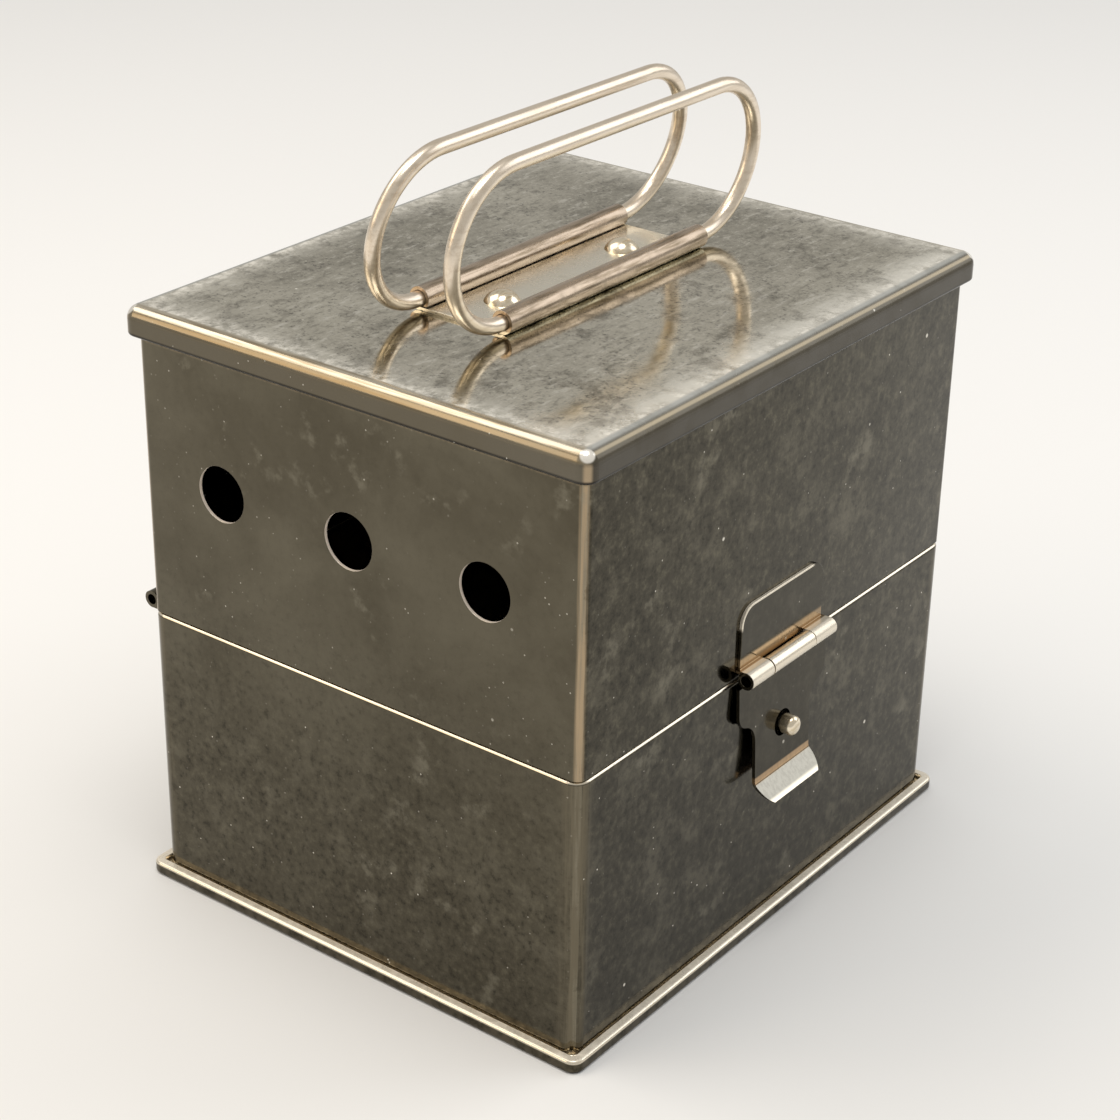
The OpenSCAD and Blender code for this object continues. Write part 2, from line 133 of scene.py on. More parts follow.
def new_material(name):
    """A material with an empty node tree."""
    material = bpy.data.materials.new(name)
    material.use_nodes = True
    material.node_tree.nodes.clear()
    return material, material.node_tree


print("mid grey #808080 is", round(linear("#808080")[0], 3), "in linear light")

# %% [markdown]
# ## The floor
# The box stands on a plain pale sheet of paper. Upright steel that is seen from above mirrors the
# floor, so a plain floor keeps the walls calm and lets the metal's own marks show.

# %% Floor
FLOOR_REACH = 6.0
floor_mesh = bpy.data.meshes.new("floor")
bm = bmesh.new()
bmesh.ops.create_grid(bm, x_segments=1, y_segments=1, size=FLOOR_REACH)
bm.to_mesh(floor_mesh)
bm.free()
floor = bpy.data.objects.new("floor", floor_mesh)
bpy.context.scene.collection.objects.link(floor)
# Matt paper: rough, with hardly any gloss, so that it takes a shadow but shows no mirror image.
paper, tree = new_material("pale_paper_floor")
shade = add(tree, "BsdfPrincipled", Base_Color="#eeece8", Roughness=0.9, Specular_IOR_Level=0.1)
add(tree, "OutputMaterial", Surface=shade)
floor_mesh.materials.append(paper)
print("the floor is", 2 * FLOOR_REACH, "m wide")

# %% [markdown]
# ## The light
# A mirror shows the room, so the room is the first half of the finish. An even fill comes from all
# round. The camera and the mirrors see a backdrop instead, a little warmer and darker than the
# fill. Only rounded edges mirror the lamps. Each lamp therefore hangs where one row of edges
# looks: high on the left for the cap's near edge, low on the left for the rim's ledge, and behind
# on the right for every edge that runs away from the camera.

# %% Backdrop and fill light
world = bpy.data.worlds.new("studio")
bpy.context.scene.world = world
world.use_nodes = True
world.node_tree.nodes.clear()
tree = world.node_tree
path = add(tree, "LightPath")
seen = add(tree, "Math.MAXIMUM", path.outputs["Is Camera Ray"], path.outputs["Is Glossy Ray"])
seen = add(tree, "Math.MAXIMUM", seen, path.outputs["Is Transmission Ray"])
fill = add(tree, "Background", Color="#e6e7e8", Strength=0.80)
backdrop = add(tree, "Background", Color="#e2dfd9", Strength=0.70)
add(tree, "OutputWorld", Surface=add(tree, "MixShader", seen, fill, backdrop))
print("the fill's strength is", round(fill.inputs["Strength"].default_value, 2))

# %% Lamps
LAMP_DISTANCE = 1.15
BOX_MIDDLE = Vector((0, 0, 0.08))


def lamp(name, direction, size, glow, colour):
    """A soft square lamp in a direction from the box. Glow is how bright its face looks."""
    data = bpy.data.lights.new(name, "AREA")
    data.shape, data.size = "SQUARE", size
    data.energy = glow * math.pi * size * size
    data.color = linear(colour)[:3]
    thing = bpy.data.objects.new(name, data)
    bpy.context.scene.collection.objects.link(thing)
    away = Vector(direction).normalized()
    thing.location = BOX_MIDDLE + away * LAMP_DISTANCE
    thing.rotation_euler = away.to_track_quat("Z", "Y").to_euler()
    print(name, "glows", glow, "from", [round(v, 2) for v in thing.location])


lamp("near_edge_lamp", (-0.54, -0.22, 0.80), 0.66, 2.4, "#fff6ea")
lamp("ledge_lamp", (-0.54, -0.78, 0.42), 0.56, 1.9, "#ffe8c9")
lamp("far_edge_lamp", (0.46, 0.74, 0.50), 0.76, 1.5, "#f4f6fa")
lamp("overhead_lamp", (0.10, -0.10, 1.0), 0.50, 5.0, "#fffdfa")

# %% [markdown]
# ## What the metal has been through
# The box was rolled bright, plated, and then boiled, wiped and carried for years. Every finish
# below is built from the same few marks: clouds of tarnish, specks of dust, short scratches, and
# plating that is rubbed thin and warm where the sheet turns a corner. That rubbed colour is partly
# a painted highlight, and some zones below are painted shade and painted reflections. Each mark is
# a small function, with its size in real millimetres. A mark's share of a place is a number from 0
# to 1.

# %% Soft borders, clouds, streaks and specks
def fade(tree, value, low, high, start=0.0, end=1.0):
    """A mark's soft border: from start to end, smoothly, while value goes from low to high."""
    return add(tree, "MapRange.SMOOTHSTEP", value, low, high, start, end)


def cloud(tree, place, size, detail=4.0, rough=0.55, twist=0.0):
    """Soft noise whose patches are about size millimetres wide."""
    return add(tree, "TexNoise", place, Scale=1000 / size, Detail=detail, Roughness=rough,
               Distortion=twist)


def stretched(tree, place, turn, long):
    """Coordinates that draw a pattern out long times along one direction, turned in degrees."""
    turned = add(tree, "Mapping", place, Rotation=[math.radians(a) for a in turn])
    return add(tree, "Mapping", turned, Scale=(1, 1, 1 / long))


def marks(tree, place, spacing, size, share):
    """Small marks, size millimetres wide, in a share of the cells of a grid of that spacing."""
    cell = add(tree, "TexVoronoi", place, Scale=1000 / spacing)
    chosen = add(tree, "Math.LESS_THAN", cell.outputs["Color"], share)
    near = fade(tree, cell.outputs["Distance"], 0.5 * size / spacing, 0.25 * size / spacing)
    return add(tree, "Math.MULTIPLY", chosen, near)


print("a cloud of 10 mm has a scale of", 1000 / 10)

# %% Where a place is on the box, in millimetres
def coordinates(tree):
    """The object's own coordinates: the vector in metres, and x, y and z in millimetres."""
    place = add(tree, "TexCoord").outputs["Object"]
    x, y, z = add(tree, "SeparateXYZ", add(tree, "VectorMath.SCALE", place, 1000.0)).outputs
    return place, x, y, z


def distance(tree, *parts):
    """The length of a vector that is given by its parts."""
    squares = [add(tree, "Math.MULTIPLY", part, part) for part in parts]
    total = squares[0]
    for square in squares[1:]:
        total = add(tree, "Math.ADD", total, square)
    return add(tree, "Math.SQRT", total)


# The walls stand further out in y than in x by this much.
LONGER_Y = 12.3


def corner_reach(tree, x, y):
    """Grows towards the box's upright corners, where it is the wall's half width in x."""
    along_y = add(tree, "Math.SUBTRACT", add(tree, "Math.ABSOLUTE", y), LONGER_Y)
    return add(tree, "Math.MINIMUM", add(tree, "Math.ABSOLUTE", x), along_y)


print("the walls are", 2 * LONGER_Y, "mm longer than wide")

# %% The shader that ends every finish
WAVE_DEPTH, GRAIN_DEPTH = 0.05, 0.004


def finish(tree, colour, rough, height, depth, metallic=1.0):
    """Worn metal with a bump that is depth millimetres deep. Where metallic is below 1 the metal
    is torn or dusty, so it scatters light instead of mirroring it."""
    bump = add(tree, "Bump", Height=height, Strength=1.0, Distance=depth * MM)
    shade = add(tree, "BsdfPrincipled", Base_Color=colour, Metallic=metallic, Roughness=rough,
                Normal=bump)
    add(tree, "OutputMaterial", Surface=shade)


print("walls wave by", WAVE_DEPTH, "mm, and grain is", GRAIN_DEPTH, "mm deep")

# %% [markdown]
# ## The walls: a worn mirror
# The walls are sheet steel, plated bright and rolled smooth, so when new they are a plain mirror.
# Years of boiling leave a brown film on them, with cloudy patches, a fine grain, dust and short
# scratches. A painted picture could hold all that, but it would stretch round the corners. Noise on
# the object's own coordinates keeps its size on every face. The film decides how dark the mirror
# is, and the roughness stays low, so that the eye still reads polished metal. The film also carries
# painted shade and light: the sides with latch and hinge and the lower walls are painted darker,
# and the inside is painted lighter.

# %% Film and clouds on the plate
SIDE_FACE = (59.0, 59.8)  # the size of x where the sides with latch and hinge begin
LOW_WALL = (95, 30)       # height at which the darker lower wall begins, and is complete
INNER_X, INNER_Y = (59.8, 59.6), (72.1, 71.9)
FILM_LIGHT, FILM_DARK, SIDE_PAINTED_SHADE, LOW_WALL_PAINTED_SHADE, INSIDE_PAINTED_LIGHT = (
    "#635e51", "#534e42", "#3b3830", "#3f3b32", "#857f70")
CLOUD_LIGHT, GRAIN_LIGHT, GRAIN_DARK = "#6a6558", "#6f6a5a", "#26241e"


def film(tree, x, y, z, tarnish):
    """Colour of the film, and how exposed a place is, which grows on the sides and the low walls.
    The sides with latch and hinge and the lower walls are painted darker, as painted shade, and the
    inside is painted lighter, as painted light.
    """
    side = fade(tree, add(tree, "Math.ABSOLUTE", x), *SIDE_FACE)
    low = fade(tree, z, *LOW_WALL)
    colour = add(tree, "Mix.RGBA", fade(tree, tarnish, 0.3, 0.72), FILM_LIGHT, FILM_DARK)
    # Painted shade: the sides with latch and hinge are darker.
    colour = add(tree, "Mix.RGBA", add(tree, "Math.MULTIPLY", side, 0.75), colour, SIDE_PAINTED_SHADE)
    # Painted shade: the wall darkens towards the bottom.
    colour = add(tree, "Mix.RGBA", add(tree, "Math.MULTIPLY", low, 0.45), colour, LOW_WALL_PAINTED_SHADE)
    inside = add(tree, "Math.MULTIPLY", fade(tree, add(tree, "Math.ABSOLUTE", x), *INNER_X),
                 fade(tree, add(tree, "Math.ABSOLUTE", y), *INNER_Y))
    # Painted light: the inside of the walls is lighter.
    colour = add(tree, "Mix.RGBA", inside, colour, INSIDE_PAINTED_LIGHT)
    return colour, add(tree, "Math.MAXIMUM", side, low)


def clouded(tree, colour, patches, grain, strength):
    """Lays light patches and a light and dark grain over a colour."""
    light_patch = add(tree, "Math.MULTIPLY", fade(tree, patches, 0.46, 0.72), strength)
    light_grain = add(tree, "Math.MULTIPLY", fade(tree, grain, 0.48, 0.74), strength)
    dark_grain = add(tree, "Math.MULTIPLY", fade(tree, grain, 0.50, 0.28), strength)
    colour = add(tree, "Mix.RGBA", add(tree, "Math.MULTIPLY", light_patch, 0.9), colour,
                 CLOUD_LIGHT)
    colour = add(tree, "Mix.RGBA", add(tree, "Math.MULTIPLY", light_grain, 0.8), colour,
                 GRAIN_LIGHT)
    return add(tree, "Mix.RGBA", dark_grain, colour, GRAIN_DARK)


print("the lower wall darkens from z", LOW_WALL[0], "to", LOW_WALL[1], "mm")

# %% Dust and scratches on the plate
SCRATCH_WIDTH, SCRATCH_LONG = 0.20, 14


def fallen_dust(tree, place, patches, exposed, spoiled):
    """Fine specks where the patches are, and a few coarse ones everywhere."""
    fine = marks(tree, place, 2.2, 0.50, 0.37)
    coarse = marks(tree, place, 8.0, 1.2, 0.38)
    gathered = fade(tree, patches, 0.50, 0.60, 0.15, 1.0)
    dust = add(tree, "Math.MAXIMUM", add(tree, "Math.MULTIPLY", fine, gathered), coarse)
    shown = fade(tree, exposed, 0.0, 1.0, 0.45, 0.45 + 0.5 * spoiled)
    return add(tree, "Math.MULTIPLY", dust, shown)


def crossed_scratches(tree, place, strength):
    """Short scratches in two directions, 0.2 mm wide, which is as fine as the picture can show."""
    short = marks(tree, stretched(tree, place, (62, 10, 20), SCRATCH_LONG), 3.4,
                  SCRATCH_WIDTH, 0.34)
    cross = marks(tree, stretched(tree, place, (-38, 14, 65), 11), 4.2,
                  SCRATCH_WIDTH, 0.32)
    return add(tree, "Math.MULTIPLY", add(tree, "Math.MAXIMUM", short, cross), strength)


print("the longest scratches are about", round(SCRATCH_LONG * SCRATCH_WIDTH, 1), "mm long")

# %% The worn mirror, with painted light
# The first colour is bright plating; on shoulders, knuckles and filed edges it is partly a painted
# highlight.
RUBBED_METAL_AND_HIGHLIGHT, SMUDGE, SCRATCHED, DUSTY = "#ebe1ce", "#8b8677", "#b3ab98", "#e4ded0"


def worn_and_painted_mirror(name, warm, bright, shine=RUBBED_METAL_AND_HIGHLIGHT, raw=0.0, spoiled=1.0):
    """Plated wall sheet. Warm and bright are functions that give a share of each from x, y and z;
    these shares are partly wear and partly painted highlight, painted reflection and painted shade.
    Shine is the colour of the bright share, and raw is how much of it is torn metal that scatters.
    Spoiled is how strongly grain and scratches show."""
    material, tree = new_material(name)
    place, x, y, z = coordinates(tree)
    tarnish = cloud(tree, place, 30, detail=5, rough=0.6, twist=0.4)
    patches = cloud(tree, place, 8.0, detail=5, rough=0.62)
    grain = cloud(tree, place, 1.9, detail=4, rough=0.7)
    colour, exposed = film(tree, x, y, z, tarnish)
    strength = add(tree, "Math.MULTIPLY", exposed, 0.55 * spoiled)
    colour = clouded(tree, colour, patches, grain, add(tree, "Math.ADD", strength, 0.10))

    rubbed = cloud(tree, stretched(tree, place, (0, 0, 0), 25), 0.9, detail=3)
    share, warm_colour = warm(tree, x, y, z)
    patchy = fade(tree, rubbed, 0.34, 0.60, 1 - 0.75 * spoiled, 1.0)
    share = add(tree, "Math.MULTIPLY", share, patchy)
    colour = add(tree, "Mix.RGBA", share, colour, warm_colour)
    edge = bright(tree, x, y, z)
    colour = add(tree, "Mix.RGBA", edge, colour, shine)

    smudge = add(tree, "Math.MULTIPLY", fade(tree, patches, 0.54, 0.68),
                 fade(tree, tarnish, 0.52, 0.62))
    smudge = add(tree, "Math.MULTIPLY", smudge, 0.35 * spoiled)
    colour = add(tree, "Mix.RGBA", smudge, colour, SMUDGE)
    scratch = crossed_scratches(tree, place, 0.4 * spoiled)
    colour = add(tree, "Mix.RGBA", scratch, colour, SCRATCHED)
    dust = fallen_dust(tree, place, patches, exposed, spoiled)
    colour = add(tree, "Mix.RGBA", dust, colour, DUSTY)

    rough = fade(tree, tarnish, 0.3, 0.7, 0.09, 0.17)
    rough = add(tree, "Math.ADD", rough, add(tree, "Math.MULTIPLY", dust, 0.5))
    rough = add(tree, "Math.ADD", rough, add(tree, "Math.MULTIPLY", edge, 0.14))
    wave = cloud(tree, place, 38, detail=2)
    height = add(tree, "Math.ADD", wave, add(tree, "Math.MULTIPLY", scratch, -0.06))
    scatter = add(tree, "Math.MAXIMUM", dust, add(tree, "Math.MULTIPLY", edge, raw))
    finish(tree, colour, rough, height, WAVE_DEPTH, add(tree, "Math.SUBTRACT", 1.0, scatter))
    print(name, "is mixed from", len(tree.nodes), "nodes")
    return material


# %% [markdown]
# ## Where the walls are rubbed, and where light is painted
# Hands, cloths and the table wear plating through where it stands proud: along the upright corners,
# on the shoulder that shows as the seam, and at the punched edge of each vent. The corner lines and
# the seam's shoulder are partly painted highlights, and some zones below are painted reflections
# and painted shade. Each zone below is a pair of places in millimetres: where it begins, and where
# it is complete. A mask painted by hand would do the same, but places in numbers can be read and
# changed.

# %% Zones of the lower box
BASE_CORNER = (54.2, 59.0)
FOOT_PAINTED_REFLECTION, FOOT_BEND = (3.9, 3.6), (3.5, 3.1)
SHOULDER_FROM, SHOULDER_TO = (68.65, 68.9), (69.6, 69.3)
CORNER_WEAR_AND_HIGHLIGHT, PAINTED_LEDGE_REFLECTION = "#6b6455", "#c4bba8"


def base_warm(tree, x, y, z):
    """The lower box is rubbed along its corners in a brown that is partly a painted highlight, and
    its foot carries a painted reflection of the rim's ledge.
    """
    corner = fade(tree, corner_reach(tree, x, y), *BASE_CORNER)
    foot = fade(tree, z, *FOOT_PAINTED_REFLECTION)
    share = add(tree, "Math.MAXIMUM", corner, foot)
    # Brown on the corners is wear and a painted highlight; cream at the foot is a painted
    # reflection of the rim's ledge.
    return share, add(tree, "Mix.RGBA", foot, CORNER_WEAR_AND_HIGHLIGHT, PAINTED_LEDGE_REFLECTION)


def base_bright(tree, x, y, z):
    """The shoulder that shows as the seam, and the bend at the foot: rubbed plating and a painted
    highlight.
    """
    # Painted highlight on the shoulder's round and on the foot's bend.
    shoulder = add(tree, "Math.MULTIPLY", fade(tree, z, *SHOULDER_FROM),
                   fade(tree, z, *SHOULDER_TO))
    return add(tree, "Math.MAXIMUM", shoulder, fade(tree, z, *FOOT_BEND))


base_wall = worn_and_painted_mirror("worn_and_painted_mirror_base", base_warm, base_bright)

# %% Zones of the lid
LID_CORNER = (58.1, 58.95)
SKIRT_SHADE_Z = (134.4, 135.4)
VENT_Z, VENTS_X = 104.8, (-36.6, -0.5, 35.6)
PUNCHED_R, PUNCHED_Y = (6.66, 6.60), (72.29, 72.22)
FAR = 100.0
# The tan is partly a painted highlight; the near-black colour is painted shade below the cap's
# skirt.
TAN, GRIME, TORN_EDGE = "#a8957a", "#14120e", "#fff0de"


def lid_warm(tree, x, y, z):
    """The lid's corners are rubbed to a narrow tan line that is partly a painted highlight, with
    painted shade, near black, below the cap's skirt.
    """
    corner = fade(tree, corner_reach(tree, x, y), *LID_CORNER)
    # Painted shade: a near-black band on the wall just below the cap's skirt.
    grime = fade(tree, z, *SKIRT_SHADE_Z)
    share = add(tree, "Math.MAXIMUM", corner, grime)
    return share, add(tree, "Mix.RGBA", grime, TAN, GRIME)


def lid_bright(tree, x, y, z):
    """The punched edge of each vent, inside the sheet."""
    up = add(tree, "Math.SUBTRACT", z, VENT_Z)
    reach = FAR
    for vent_x in VENTS_X:
        across = add(tree, "Math.SUBTRACT", x, vent_x)
        reach = add(tree, "Math.MINIMUM", reach, distance(tree, across, up))
    return add(tree, "Math.MULTIPLY", fade(tree, reach, *PUNCHED_R),
               fade(tree, add(tree, "Math.ABSOLUTE", y), *PUNCHED_Y))


lid_wall = worn_and_painted_mirror("worn_and_painted_mirror_lid", lid_warm, lid_bright, shine=TORN_EDGE, raw=0.9)

# %% Zones of the latch's leaf
PIN_X, PIN_Z, LATCH_Y = 62.8, 69.8, 0.4
PLATE_FROM, TAN_BELOW = (2.1, 2.2), (74.6, 73.6)
KNUCKLE_OUT, BORE, NEAR_END = (2.5, 2.2), (1.4, 1.6), (-16.55, -16.4)
CORNER_Y, CORNER_Z = 11.8, 81.8
LEAF_EDGE, LEAF_TOP, FAR_END = (4.02, 4.12), (80.5, 82.0), (13.0, 11.5)
PAINTED_KNUCKLE_REFLECTION = "#a38c6e"


def pin_reach(tree, x, z):
    """Distance in millimetres from the latch's pin."""
    return distance(tree, add(tree, "Math.SUBTRACT", x, PIN_X),
                    add(tree, "Math.SUBTRACT", z, PIN_Z))


def leaf_warm(tree, x, y, z):
    """Above its knuckles the leaf carries a painted reflection of them in tan."""
    plate = fade(tree, pin_reach(tree, x, z), *PLATE_FROM)
    # Painted reflection of the knuckles, in tan, on the leaf above them.
    return add(tree, "Math.MULTIPLY", plate, fade(tree, z, *TAN_BELOW)), PAINTED_KNUCKLE_REFLECTION


def leaf_bright(tree, x, y, z):
    """Knuckles but for their ends, and the filed edge round the top of the leaf: bright metal that
    is partly a painted highlight.
    """
    reach = pin_reach(tree, x, z)
    # Painted highlight on the knuckles.
    knuckle = add(tree, "Math.MULTIPLY", fade(tree, reach, *KNUCKLE_OUT), fade(tree, reach, *BORE))
    knuckle = add(tree, "Math.MULTIPLY", knuckle, fade(tree, y, *NEAR_END))
    across = add(tree, "Math.ABSOLUTE", add(tree, "Math.SUBTRACT", y, LATCH_Y))
    across = add(tree, "Math.MAXIMUM", add(tree, "Math.SUBTRACT", across, CORNER_Y), 0.0)
    up = add(tree, "Math.MAXIMUM", add(tree, "Math.SUBTRACT", z, CORNER_Z), 0.0)
    rim_line = fade(tree, distance(tree, across, up), *LEAF_EDGE)
    # Painted highlight along the filed top edge, partly bare metal.
    filed_edge = add(tree, "Math.MULTIPLY", rim_line, fade(tree, z, *LEAF_TOP))
    filed_edge = add(tree, "Math.MULTIPLY", filed_edge, fade(tree, y, *FAR_END))
    return add(tree, "Math.MAXIMUM", knuckle, filed_edge)


leaf_plate = worn_and_painted_mirror("worn_and_painted_mirror_latch_leaf", leaf_warm, leaf_bright, raw=0.45, spoiled=0.2)

# %% Zones of the latch's tongue
CREASE_Z = 41.4
LIP_EDGE = (38.3, 37.6)
CREASE_PAINTED_REFLECTION, LIP_PAINTED_LIGHT = "#b99c7a", "#98958b"


def tongue_warm(tree, x, y, z):
    """The bend above the finger lip carries a painted reflection of warm light, and the lip below
    it is painted pale as lit metal.
    """
    crease = fade(tree, z, CREASE_Z + 1.6, CREASE_Z + 1.0)
    lip = fade(tree, z, CREASE_Z, CREASE_Z - 0.5)
    # Painted reflection on the bend, and painted light on the lip.
    return crease, add(tree, "Mix.RGBA", lip, CREASE_PAINTED_REFLECTION, LIP_PAINTED_LIGHT)


def tongue_bright(tree, x, y, z):
    """Knuckle, and the worn lower edge of the finger lip, brightened partly as a painted highlight.
    """
    return add(tree, "Math.MAXIMUM", fade(tree, pin_reach(tree, x, z), *KNUCKLE_OUT),
               fade(tree, z, *LIP_EDGE))


tongue_plate = worn_and_painted_mirror("worn_and_painted_mirror_latch_tongue", tongue_warm, tongue_bright, spoiled=0.2)

# %% [markdown]
# ## The cap: stained by water
# The cap is pressed from the same plated sheet, but drops dried on its flat top for years. They
# left pale rings, dark pits and streaks where a cloth wiped them, so the cap is a blurred mirror
# with a drawing of stains in it. Broad clouds come first, then blots, then pepper and wiped streaks
# that are a millimetre or two wide. The top is painted paler towards the near corner, as a painted
# reflection. Near the edge fingers and other boxes have dulled the plate to a pale haze, which is
# partly a painted sheen. The turned edge carries painted highlights, the skirt painted shade on the
# latch's side, the near corner a painted highlight, and the hem painted shade below it.

# %% Stains on the flat top
CAP_X, CAP_Y = 62.1, 74.4
PALE, DULL, NEAR_PAINTED_REFLECTION, BLOT, PIT, BARE = (
    "#cbc6b7", "#a49f90", "#cfcabb", "#716b5e", "#4c483e", "#e0dccf")
WIPED_DARK, WIPED_LIGHT = "#635e51", "#eeeadf"
stained_and_painted_cap, tree = new_material("water_stained_and_painted_cap")
place, x, y, z = coordinates(tree)
size_x, size_y = add(tree, "Math.ABSOLUTE", x), add(tree, "Math.ABSOLUTE", y)
inward = add(tree, "Math.MINIMUM", add(tree, "Math.SUBTRACT", CAP_X, size_x),
             add(tree, "Math.SUBTRACT", CAP_Y, size_y))
broad = cloud(tree, place, 34, detail=4, rough=0.55, twist=0.4)
blot = cloud(tree, place, 9, detail=6, rough=0.62, twist=0.4)
grain = cloud(tree, place, 0.9, detail=5, rough=0.7)
# Painted reflection: the top grows paler towards the near corner.
near = fade(tree, add(tree, "Math.SUBTRACT", x, y), -40, 110)
colour = add(tree, "Mix.RGBA", fade(tree, broad, 0.35, 0.66), PALE, DULL)
colour = add(tree, "Mix.RGBA", add(tree, "Math.MULTIPLY", near, 0.6), colour, NEAR_PAINTED_REFLECTION)
colour = add(tree, "Mix.RGBA", fade(tree, blot, 0.50, 0.68, 0, 0.6), colour, BLOT)
pepper = add(tree, "Math.MULTIPLY", fade(tree, grain, 0.52, 0.68),
             fade(tree, blot, 0.38, 0.58, 0.35, 1.0))
colour = add(tree, "Mix.RGBA", pepper, colour, PIT)
colour = add(tree, "Mix.RGBA", fade(tree, grain, 0.46, 0.30, 0, 0.7), colour, BARE)
wiped = cloud(tree, stretched(tree, place, (90, 0, 0), 3), 1.8, detail=5, rough=0.7)
colour = add(tree, "Mix.RGBA", fade(tree, wiped, 0.52, 0.70, 0, 0.6), colour, WIPED_DARK)
colour = add(tree, "Mix.RGBA", fade(tree, wiped, 0.46, 0.32, 0, 0.6), colour, WIPED_LIGHT)
print("the stained top measures", 2 * CAP_X, "by", 2 * CAP_Y, "mm")

# %% Haze, partly a painted sheen, and scuffs near the cap's edge
HAZE_WIDTH, SCUFF_WIDTH = (16, 3), (11.0, 1.0)
LATCH_EDGE_X = (30, 60)
HAZE_AND_SHEEN, SCUFFED = "#e2dfd5", "#e9e4d8"
# Painted sheen: the haze is pale near the edge and strongest on the latch's side, partly dulled
# plate.
latch_edge = add(tree, "Math.MULTIPLY", fade(tree, x, *LATCH_EDGE_X), 0.6)
haze = add(tree, "Math.MULTIPLY", fade(tree, inward, *HAZE_WIDTH),
           add(tree, "Math.ADD", latch_edge, 0.3))
haze = add(tree, "Math.MULTIPLY", haze, fade(tree, blot, 0.66, 0.40, 0.45, 1.0))
colour = add(tree, "Mix.RGBA", add(tree, "Math.MULTIPLY", haze, 0.8), colour, HAZE_AND_SHEEN)
scuffed = cloud(tree, place, 2.6, detail=5, rough=0.7)
scuff = add(tree, "Math.MULTIPLY", fade(tree, inward, *SCUFF_WIDTH),
            fade(tree, scuffed, 0.34, 0.66, 0.1, 0.85))
colour = add(tree, "Mix.RGBA", scuff, colour, SCUFFED)
print("the haze reaches", HAZE_WIDTH[0], "mm in from the edge")

# %% The cap's turned edge
# Rolled over a die, the edge keeps a polish in bands, and its colours are mostly a painted
# highlight. On the long near side it is painted cream, worn to brown streaks, and on the latch's
# side one thin warm band lies between two grey ones.
TURNED = (3.4, 2.4)
BAND_FROM, BAND_TO, BAND_TOP = (141.4, 141.7), (142.2, 141.9), (142.1, 142.5)
CREAM, CREAM_LOW, STREAK = "#c6bdab", "#908570", "#8a795c"
BAND_DARK, WARM_HIGHLIGHT_BAND, GREY_HIGHLIGHT_BAND = "#5a5447", "#948871", "#bcbcb6"
turned = fade(tree, inward, *TURNED)
along_x = add(tree, "Math.SUBTRACT", size_y, LONGER_Y)
along_x = fade(tree, add(tree, "Math.SUBTRACT", size_x, along_x), -0.6, 0.6)
streaks = cloud(tree, stretched(tree, place, (0, 90, 0), 30), 0.8, detail=3)
# Painted highlight: cream on the near side's round, with worn brown streaks.
cream = add(tree, "Mix.RGBA", fade(tree, z, 141.9, 141.4), CREAM, CREAM_LOW)
cream = add(tree, "Mix.RGBA", fade(tree, streaks, 0.45, 0.62, 0, 0.7), cream, STREAK)
# Painted highlight: grey and warm bands on the latch side's round.
thin = add(tree, "Math.MULTIPLY", fade(tree, z, *BAND_FROM), fade(tree, z, *BAND_TO))
narrow = add(tree, "Mix.RGBA", thin, BAND_DARK, WARM_HIGHLIGHT_BAND)
narrow = add(tree, "Mix.RGBA", fade(tree, z, *BAND_TOP), narrow, GREY_HIGHLIGHT_BAND)
banded = add(tree, "Mix.RGBA", along_x, cream, narrow)
colour = add(tree, "Mix.RGBA", turned, colour, banded)
print("the turned edge is", TURNED[0], "mm wide")

# %% Skirt, corners and painted shade of the cap
SKIRT_Z, HEM_SHADE_Z = (140.7, 139.8), (136.9, 136.3)
TIP, TIP_R = (60.4, 72.7, 141.6), (1.7, 1.2)
SKIRT_CORNER = (60.1, 60.9)
SKIRT_NEAR, SKIRT_SIDE_PAINTED_SHADE, TIP_PAINTED_HIGHLIGHT, CAP_PAINTED_SHADE = "#625c4f", "#4b463c", "#fbf6ec", "#1c1913"
skirt = fade(tree, z, *SKIRT_Z)
# Painted shade: the skirt is darker on the latch's side than on the near side.
skirt_colour = add(tree, "Mix.RGBA", along_x, SKIRT_NEAR, SKIRT_SIDE_PAINTED_SHADE)
colour = add(tree, "Mix.RGBA", skirt, colour, skirt_colour)
from_tip = distance(tree, *(add(tree, "Math.SUBTRACT", value, middle)
                            for value, middle in zip((size_x, size_y, z), TIP)))
# Painted highlight: a white spot at the cap's near corner.
colour = add(tree, "Mix.RGBA", fade(tree, from_tip, *TIP_R), colour, TIP_PAINTED_HIGHLIGHT)
patch = add(tree, "Math.MULTIPLY", skirt, fade(tree, corner_reach(tree, x, y), *SKIRT_CORNER))
# Tan on the skirt's corners is wear and a painted highlight.
colour = add(tree, "Mix.RGBA", patch, colour, TAN)
# Painted shade, near black, along the hem at the skirt's lower edge.
colour = add(tree, "Mix.RGBA", fade(tree, z, *HEM_SHADE_Z), colour, CAP_PAINTED_SHADE)
print("grime lies below z", HEM_SHADE_Z[0], "mm")

# %% Dust, scratches and shine of the cap
CAP_SCRATCHED, CAP_DUSTY = "#ddd5c4", "#ebe6da"
dust = add(tree, "Math.MAXIMUM", marks(tree, place, 3.0, 0.40, 0.40),
           marks(tree, place, 9.0, 0.7, 0.4))
dust = add(tree, "Math.MULTIPLY", dust, 0.6)
short = marks(tree, stretched(tree, place, (90, 0, 25), 18), 2.0, 0.14, 0.36)
cross = marks(tree, stretched(tree, place, (90, 0, 115), 14), 2.3, 0.14, 0.34)
scratch = add(tree, "Math.MULTIPLY", add(tree, "Math.MAXIMUM", short, cross), 0.45)
colour = add(tree, "Mix.RGBA", scratch, colour, CAP_SCRATCHED)
colour = add(tree, "Mix.RGBA", dust, colour, CAP_DUSTY)
rough = add(tree, "Math.ADD", fade(tree, blot, 0.35, 0.7, 0.06, 0.17),
            add(tree, "Math.MULTIPLY", haze, 0.10))
